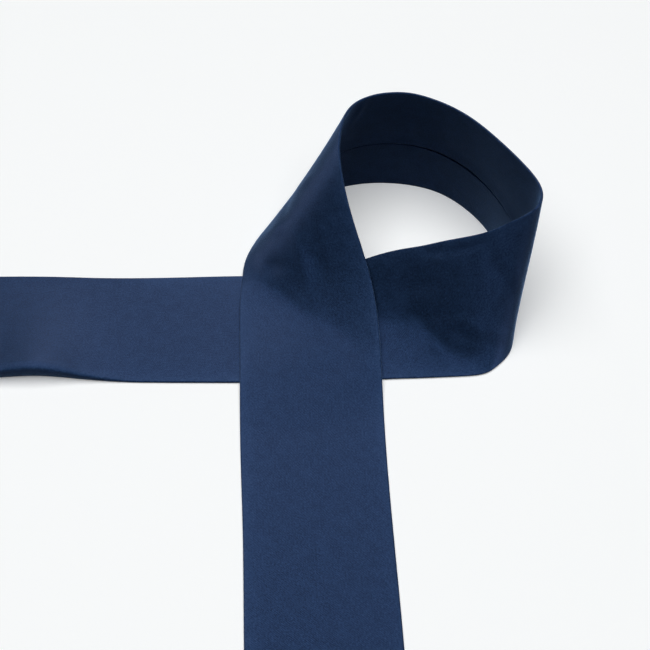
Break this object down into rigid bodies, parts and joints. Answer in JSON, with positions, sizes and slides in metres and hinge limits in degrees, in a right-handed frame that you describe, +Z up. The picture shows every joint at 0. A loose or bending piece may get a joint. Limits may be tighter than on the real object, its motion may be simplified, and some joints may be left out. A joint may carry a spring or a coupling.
{
  "type": "folded bias tape",
  "caption": "Length of navy single-fold bias tape laid in a loop: one arm flat to the left, a standing turn at the back, and the other arm crossing over it to the front.",
  "frame": {"origin": "middle of the footprint, on the table that the tape lies on", "axes": "+Z up; the flat arm that goes under runs along X and ends towards -X; the arm that lies over it runs forward and ends towards -Y; the standing turn is at +X and +Y"},
  "size_m": [0.141, 0.1398, 0.0295],
  "materials": {
    "tape_cloth": "smooth, softly sheened woven cloth cut on the bias, pressed into two folded edges"
  },
  "bodies": {
    "root": {"tape": "tape_cloth"}
  },
  "joints": []
}
